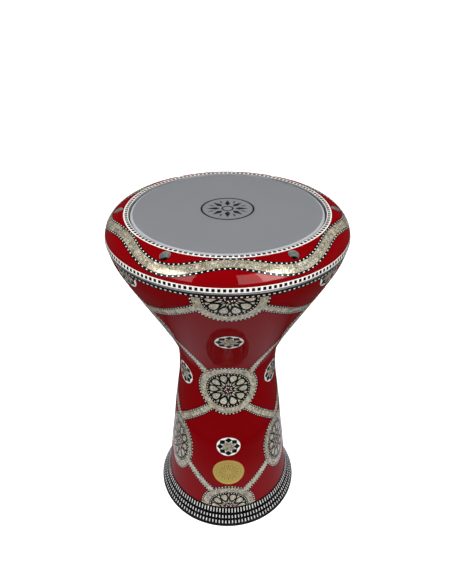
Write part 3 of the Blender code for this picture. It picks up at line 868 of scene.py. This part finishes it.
GOLD_KIND, CUT_KIND = range(2)
BADGE_LEAF = mirrored([(3.6, 0.0), (6.4, 1.7), (9.6, 2.3), (12.6, 1.5), (15.2, 0.0)])
BADGE_DART = mirrored([(8.4, 0.0), (12.4, 0.9), (15.0, 0.0)])
BADGE_BEAD = bead(18.7, 0.55, 0.55)
BADGE_LEAVES, BADGE_BEADS = 8, 40
BADGE_RIM_MM, BADGE_BOSS_MM, BADGE_BASE = 1.3, 2.6, -0.75
BADGE_CIRCLE = (16.6, 17.0)
# Heights of the badge's parts above the lacquer.
BADGE_FACE, BADGE_LINE, BADGE_CUT, BADGE_VEIN, BADGE_BEAD_TOP, BADGE_BOSS, BADGE_RIM = (
    0.30, 0.34, 0.38, 0.46, 0.50, 0.60, 0.62)


def build_badge():
    """Gold disc with its engraving; the engraved parts are thin darker sheets on its face."""
    site = Site(BODY, FRONT, BADGE_Z)
    site.inlay = Inlay(BODY, (GOLD, ENGRAVING))
    face = BADGE_MM - BADGE_RIM_MM
    vein = [(x * 0.86 + 1.2, y * 0.62) for x, y in BADGE_LEAF]
    site.ring(0.0, face, BADGE_FACE, GOLD_KIND, BADGE_BASE)
    site.ring(face + JOINT_MM, BADGE_MM, BADGE_RIM, GOLD_KIND, BADGE_BASE)
    site.ring(*BADGE_CIRCLE, BADGE_LINE, CUT_KIND)
    step = 360.0 / BADGE_LEAVES
    for i in range(BADGE_LEAVES):
        site.tile(turned(BADGE_LEAF, step * (i + 0.5)), BADGE_CUT, CUT_KIND)
        site.tile(turned(vein, step * (i + 0.5)), BADGE_VEIN, GOLD_KIND)
        site.tile(turned(BADGE_DART, step * i), BADGE_CUT, CUT_KIND)
    for i in range(BADGE_BEADS):
        site.tile(turned(BADGE_BEAD, 360.0 / BADGE_BEADS * i), BADGE_BEAD_TOP, GOLD_KIND)
    site.ring(0.0, BADGE_BOSS_MM, BADGE_BOSS, GOLD_KIND)
    site.inlay.build("badge_disc", "shell", "gold", ["badge"])


build_badge()


# Castings, head and fittings.

LACQUERED, METAL, RIM, SEAM = range(4)      # places in a casting's tuple of materials
SHARP_ANGLE = 32.0
PAST_CUT = 0.002            # how far a cutter passes the face that it opens


def spin(name, outline, kinds, materials, segments=288):
    """Turned closed solid over (radius, height) points; kinds gives each outline edge its material.

    A radius may also be an array with a value for every segment.
    """
    turns = np.radians(np.arange(segments) * 360.0 / segments)
    verts = np.concatenate([np.stack((r * np.sin(turns), -r * np.cos(turns), np.full(segments, z)), -1)
                            for r, z in outline])
    faces, indices = [], []
    for k, kind in enumerate(kinds):
        this, above = k * segments, (k + 1) % len(outline) * segments
        for i in range(segments):
            j = (i + 1) % segments
            faces.append((this + i, this + j, above + j, above + i))
            indices.append(kind)
    mesh = new_mesh(name, verts.tolist(), faces, materials, indices)
    mesh.shade_smooth()
    mesh.set_sharp_from_angle(angle=radians(SHARP_ANGLE))
    return mesh


def with_axis_closed(mesh):
    """Merge each row of points that lies on the axis, and drop the edge left between them."""
    work = bmesh.new()
    work.from_mesh(mesh)
    bmesh.ops.remove_doubles(work, verts=work.verts, dist=1e-6)
    bmesh.ops.dissolve_degenerate(work, edges=work.edges, dist=1e-7)
    bmesh.ops.delete(work, geom=[edge for edge in work.edges if edge.is_wire], context="EDGES")
    work.to_mesh(mesh)
    work.free()
    return mesh


BOLT_CENTRES = [around(BOLT_CIRCLE, BOLT_FIRST_ANGLE + 60.0 * i) for i in range(6)]
BORE_SEGMENTS = 64


def bored(mesh, bores, material):
    """Mesh with round holes cut at every screw: (radius, low, high) for each bore."""
    target = new_object("bored", mesh)
    cutters = []
    for radius, low, high in bores:
        work = bmesh.new()
        for x, y in BOLT_CENTRES:
            made = bmesh.ops.create_cone(work, cap_ends=True, segments=BORE_SEGMENTS, radius1=radius,
                                         radius2=radius, depth=high - low)
            bmesh.ops.translate(work, verts=made["verts"], vec=(x, y, (low + high) / 2))
        cut_mesh = bpy.data.meshes.new("cutter")
        work.to_mesh(cut_mesh)
        work.free()
        cut_mesh.materials.append(material)
        cutter = new_object("cutter", cut_mesh)
        modifier = target.modifiers.new("cut", "BOOLEAN")
        modifier.operation, modifier.solver, modifier.object = "DIFFERENCE", "EXACT", cutter
        modifier.material_mode = "TRANSFER"
        cutters.append(cutter)
    bpy.context.view_layer.update()
    result = bpy.data.meshes.new_from_object(target.evaluated_get(bpy.context.evaluated_depsgraph_get()))
    for item in (target, *cutters):
        bpy.data.objects.remove(item, do_unlink=True)
    return result


def shell_mesh():
    """One casting: foot, stem and bowl outside, then the collar, the flange and the bore."""
    outline = [(FOOT_RADIUS - FOOT_UNDERCUT, 0.0), (FOOT_RADIUS - FOOT_CHAMFER / 2, FOOT_CHAMFER),
               (FOOT_RADIUS + (FOOT_TOP_RADIUS - FOOT_RADIUS) * FOOT_RIM / FOOT_TOP, FOOT_RIM)]
    kinds = [RIM, RIM, LACQUERED]
    heights = np.linspace(FOOT_TOP, SHELL_TOP - SEAM_CHAMFER, 151)
    outline += zip(station_radii(heights).tolist(), heights.tolist())
    kinds += [LACQUERED] * (len(heights) - 1) + [SEAM]
    outline += [(SHELL_TOP_RADIUS - SEAM_CHAMFER, SHELL_TOP), (COLLAR_OUTER, SHELL_TOP)]
    outline += [*BEARING_EDGE, *FLANGE_UNDERSIDE]
    heights = np.linspace(BORE_TOP, BORE_BOTTOM, 90)
    outline += zip((station_radii(heights) - INLAY_DEPTH - WALL).tolist(), heights.tolist())
    outline += FOOT_BORE
    kinds += [METAL] * (len(outline) - len(kinds))
    return spin("shell", outline, kinds, (LACQUER, CAST_METAL, BLACK_RIM_AND_SHADOW_LINE, SEAM_METAL))


shell = bored(shell_mesh(), ((HOLE_RADIUS, SHELL_HOLE_BOTTOM, SHELL_TOP + PAST_CUT),), BARE_METAL)
piece("goblet_shell", shell, "shell", ["shell"])


def ring_mesh():
    """Rounded ring: underside, round face from its widest circle to the lip, and the recess for the hoop."""
    outline = [(RING_RECESS_RADIUS, RING_BOTTOM),
               (RING_ARC_CENTRE + RING_ARC_RADIUS - RING_CHAMFER, RING_BOTTOM)]
    turns = np.linspace(0.0, RING_ARC_END, 44)
    for out, up in (polar(RING_ARC_RADIUS, turn) for turn in turns):
        outline.append((RING_ARC_CENTRE + out, RING_EQUATOR + up))
    outline += [(RING_LIP_RADIUS, RING_LIP_UNDERSIDE), (RING_RECESS_RADIUS, RING_LIP_UNDERSIDE)]
    # The chamfer under the widest circle is black: a painted shadow line below the ring.
    kinds = [METAL, RIM] + [LACQUERED] * (len(turns) - 1) + [METAL] * 3
    return spin("ring", outline, kinds, (LACQUER, BARE_METAL, BLACK_RIM_AND_SHADOW_LINE))


screw_hole = (HOLE_RADIUS, RING_BOTTOM - PAST_CUT, POCKET_FLOOR + PAST_CUT)
pocket = (POCKET_RADIUS, POCKET_FLOOR, POCKET_CUT_TOP)
ring = bored(ring_mesh(), (screw_hole, pocket), POCKET_METAL)
ring_piece = piece("rounded_tuning_ring", ring, "tuning_ring", ["tuning_ring"])

ROUND_TOLERANCE = 0.0004    # how near the true arc a face's middle is, if it is on the rounded face
FACING_ROUND = 0.9          # least cosine between such a face's normal and the arc's


def round_normal(point):
    """Distance from the middle of the ring's round section, and the direction away from it."""
    reach = hypot(point.x, point.y)
    out, up = reach - RING_ARC_CENTRE, point.z - RING_EQUATOR
    size = hypot(out, up)
    return size, Vector((out / size * point.x / reach, out / size * point.y / reach, up / size))


def smooth_ring_normals(mesh):
    """True surface normals on the rounded face, so the pockets leave no shading marks."""
    normals = [tuple(n.vector) for n in mesh.corner_normals]
    for polygon in mesh.polygons:
        size, normal = round_normal(polygon.center)
        on_round = abs(size - RING_ARC_RADIUS) <= ROUND_TOLERANCE and normal.z >= 0.0
        if on_round and normal.dot(polygon.normal) >= FACING_ROUND:
            for loop in polygon.loop_indices:
                normals[loop] = round_normal(mesh.vertices[mesh.loops[loop].vertex_index].co)[1]
    mesh.normals_split_custom_set(normals)


ring_piece.data.set_sharp_from_angle(angle=radians(SHARP_ANGLE))
smooth_ring_normals(ring_piece.data)

film_flat = [(radius, FILM_TOP) for radius in (0.0, 0.0500, FILM_FLAT_RADIUS - 0.001, FILM_FLAT_RADIUS)]
film_outline = [*film_flat, *FILM_OUTLINE, *FILM_UNDER, (0.0, FILM_UNDERSIDE)]
film_mesh = with_axis_closed(spin("film", film_outline, [0] * len(film_outline), (FILM,)))
piece("drumhead", film_mesh, "shell", ["drumhead_film"])

inner, outer, low, high, corner = HOOP_INNER, HOOP_OUTER, HOOP_LOW, HOOP_HIGH, HOOP_CHAMFER
hoop_outline = [(inner + corner, low), (outer - corner, low), (outer, low + corner), (outer, high - corner),
                (outer - corner, high), (inner + corner, high), (inner, high - corner), (inner, low + corner)]
hoop_mesh = spin("hoop", hoop_outline, [0] * len(hoop_outline), (BARE_METAL,))
piece("hoop", hoop_mesh, "tuning_ring", ["flesh_hoop"])


# Printed circle on the head, with a plain eight-pointed star.

PRINT_LIFT, PRINT_LOW = 0.05, -0.20
PRINT_CIRCLE, PRINT_EYE = (28.4, 30.6), (5.2, 7.0)
STAR_POINT = mirrored([(8.6, 0.0), (13.2, 3.1), (23.6, 0.0)])
STAR_RAY = mirrored([(16.4, 0.0), (18.6, 1.1), (24.2, 0.0)])
STAR_POINTS, STAR_MIDDLE = 8, 19.0
head_print = Inlay(HEAD, (PRINT,))


def head_sheet(rows, middle=None):
    """Flat print over closed rows of (x, y) points in millimetres, x to the right and y to the rear."""
    def on_head(x, y):
        return degrees(atan2(x, -y)), FILM_FLAT_RADIUS / MM - hypot(x, y)

    rows = [[on_head(x, y) for x, y in row] for row in rows]
    middle = on_head(*middle) if middle else None
    head_print.sheet(rows, PRINT_LIFT, 0, closed=True, middle=middle, low=PRINT_LOW)


def head_ring(inner, outer, columns):
    head_sheet([[around(radius, 360.0 * i / columns) for i in range(columns)] for radius in (outer, inner)])


def head_tile(loop, middle, turn):
    head_sheet([turned(loop, turn)], polar(middle, turn))


head_ring(*PRINT_CIRCLE, 120)
head_ring(*PRINT_EYE, 48)
for i in range(STAR_POINTS):
    head_tile(STAR_POINT, STAR_MIDDLE, 360.0 / STAR_POINTS * i)
    head_tile(STAR_RAY, STAR_MIDDLE, 360.0 / STAR_POINTS * (i + 0.5))
head_print.build("head_print", "shell", "grey_film")

HEAD_HEIGHT, HEAD_RADIUS, FLUTE_DEPTH = 0.0060, 0.0050, 0.00012
SHANK_RADIUS, THREAD_DEPTH, THREAD_PITCH = 0.0030, 0.0004, 0.0010
SOCKET_RADIUS, SOCKET_DEPTH, SOCKET_LEAD = 0.0025, 0.0035, 1.08
WASHER_INNER, WASHER_OUTER, WASHER_CHAMFER = 0.0033, 0.0053, 0.0002
SCREW_SEGMENTS = 48


def screw_mesh(name):
    """Socket-head cap screw with a fluted head, a hexagon socket and a threaded shank."""
    low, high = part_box(name)
    top, tip = high.z, low.z
    seat = top - HEAD_HEIGHT
    turns = np.arange(SCREW_SEGMENTS) * 360.0 / SCREW_SEGMENTS
    hexagon = SOCKET_RADIUS / np.cos(np.radians(turns % 60.0 - 30.0))
    head = HEAD_RADIUS - np.where(np.arange(SCREW_SEGMENTS) % 2, FLUTE_DEPTH, 0.0)
    outline = [(0.0, tip), (0.0022, tip), (0.0029, tip + 0.0006)]
    z = tip + 0.0008
    while z < seat - 0.0012:
        outline += [(SHANK_RADIUS - THREAD_DEPTH, z), (SHANK_RADIUS, z + THREAD_PITCH / 2)]
        z += THREAD_PITCH
    outline += [(SHANK_RADIUS, seat), (head - 0.0002, seat), (head, seat + 0.0003), (head, top - 0.0007),
                (HEAD_RADIUS - 0.0006, top), (SOCKET_LEAD * hexagon, top), (hexagon, top - 0.0002),
                (hexagon, top - SOCKET_DEPTH), (0.0, top - SOCKET_DEPTH)]
    return with_axis_closed(spin(name, outline, [0] * len(outline), (SCREW_STEEL,), SCREW_SEGMENTS))


def washer_mesh(name):
    low, high = (corner.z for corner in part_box(name))
    inner, outer, corner = WASHER_INNER, WASHER_OUTER, WASHER_CHAMFER
    section = [(inner, low), (outer - corner, low), (outer, low + corner), (outer, high - corner),
               (outer - corner, high), (inner, high)]
    return spin(name, section, [0] * len(section), (ZINC,), SCREW_SEGMENTS)


for number, (x, y) in enumerate(BOLT_CENTRES, start=1):
    bolt, washer = f"tuning_bolt_{number}", f"bolt_washer_{number}"
    bolt_mesh, washer_ring = screw_mesh(bolt), washer_mesh(washer)
    for mesh in (bolt_mesh, washer_ring):
        mesh.transform(Matrix.Translation((x, y, 0.0)))
    piece(f"socket_screw_{number}", bolt_mesh, bolt, [bolt])
    piece(f"screw_washer_{number}", washer_ring, "tuning_ring", [washer])


# Floor, light and camera.

FLOOR_REACH = 12.0
SHEEN_INNER, SHEEN_OUTER, SHEEN_LIFT = 0.17, 0.27, -0.0002
SHEEN_GLOW = 0.62
WINDOW_DISTANCE = 2.0
RING_FRONT, RING_MIDDLE = -0.13, 0.435
FILL_DISTANCE, FILL_HEIGHT, FILL_AIM = 1.4, 0.42, 0.32


def stage_piece(name, points, faces, material, hidden_from):
    """Part of the stage that the named kinds of ray pass through."""
    obj = new_object(name, new_mesh(name, points, faces, (material,)))
    for ray in hidden_from:
        setattr(obj, "visible_" + ray, False)


def floor():
    """Pale floor with plain walls far behind it; neither lights the drum nor shows in the lacquer."""
    s = Shader("floor", Roughness=0.9, Specular_IOR_Level=0.1, Emission_Color=grey(1.0),
               Emission_Strength=1.0)
    s.colour(s.ramp(s.noise(3.0), (0.3, grey(0.40)), (0.7, grey(0.43))))
    reach = FLOOR_REACH
    corners = [(-reach, -reach), (reach, -reach), (reach, reach), (-reach, reach)]
    stage_piece("floor", [(x, y, 0) for x, y in corners], [(0, 1, 2, 3)], s.material, ("diffuse", "glossy"))
    stage_piece("walls", [(x, y, z) for z in (0, 2 * reach) for x, y in corners],
                [(i, (i + 1) % 4, (i + 1) % 4 + 4, i + 4) for i in range(4)], s.material,
                ("diffuse", "glossy", "shadow"))


def floor_sheen():
    """Bright patch of floor round the foot, seen only in the lacquer; it fades out towards its rim."""
    s = Shader("floor_sheen", Roughness=1.0, Specular_IOR_Level=0.0, Base_Color=grey(0.0),
               Emission_Color=(0.96, 0.92, 1.0, 1.0))
    glow = s.scaled(s.radius(), SHEEN_GLOW, 0.0, SHEEN_INNER, SHEEN_OUTER)
    s.tree.links.new(glow, s.main.inputs["Emission Strength"])
    rim = [(*polar(SHEEN_OUTER, 10 * i), SHEEN_LIFT) for i in range(36)]
    stage_piece("floor_sheen", rim, [tuple(range(36))], s.material,
                ("camera", "diffuse", "shadow", "transmission"))


floor()
floor_sheen()


def softbox(name, place, target, width, height, watts, glossy=False, diffuse=True):
    data = bpy.data.lights.new(name, "AREA")
    data.shape, data.size, data.size_y, data.energy = "RECTANGLE", width, height, watts
    obj = new_object(name, data)
    obj.location = place
    obj.rotation_euler = (Vector(target) - Vector(place)).to_track_quat("-Z", "Y").to_euler()
    obj.visible_camera, obj.visible_glossy, obj.visible_diffuse = False, glossy, diffuse


def window(name, azimuth, half_angle, low, high, watts):
    """Upright softbox seen only in reflections; its angles are seen from the ring's front."""
    bottom, top, half_width = (WINDOW_DISTANCE * tan(radians(angle))
                               for angle in (low, high, half_angle))
    x, y = around(WINDOW_DISTANCE, azimuth)
    middle = RING_MIDDLE + (bottom + top) / 2
    softbox(name, (x, y + RING_FRONT, middle), (0.0, RING_FRONT, middle), 2 * half_width, top - bottom, watts,
            glossy=True, diffuse=False)


softbox("overhead", (0.0, -0.7, 2.4), (0.0, 0.0, 0.2), width=2.6, height=2.6, watts=71.0)
for number, azimuth in enumerate((-75.0, 0.0, 75.0, 180.0), start=1):
    softbox(f"fill_{number}", (*around(FILL_DISTANCE, azimuth), FILL_HEIGHT), (0.0, 0.0, FILL_AIM),
            width=1.2, height=0.9, watts=6.6)
window("right_window", 31.0, half_angle=21.5, low=8.0, high=50.0, watts=62.0)
window("right_glow", 41.0, half_angle=10.5, low=10.0, high=48.0, watts=52.0)
window("left_window", -49.0, half_angle=18.0, low=8.0, high=40.0, watts=40.0)

world = bpy.data.worlds.new("studio")
world.use_nodes = True
sky = Nodes(world.node_tree)
direction = sky.add("TexCoord").outputs["Generated"]
height = sky.add("SeparateXYZ", {0: direction}).outputs["Z"]
background = world.node_tree.nodes["Background"]
shade = sky.ramp(height, (0.02, grey(0.12)), (0.35, grey(0.05)))
world.node_tree.links.new(shade, background.inputs["Color"])
background.inputs["Strength"].default_value = 1.0
bpy.context.scene.world = world
bpy.context.scene.view_settings.view_transform = "Standard"

camera_data = bpy.data.cameras.new("camera")
camera_data.lens = 31.45
camera_data.sensor_width = 36.0
camera_data.shift_x = -0.0026
camera = new_object("camera", camera_data)
camera.location = (0.0, -0.5369, 0.6847)
camera.rotation_euler = (radians(57.04), 0.0, 0.0)
bpy.context.scene.camera = camera
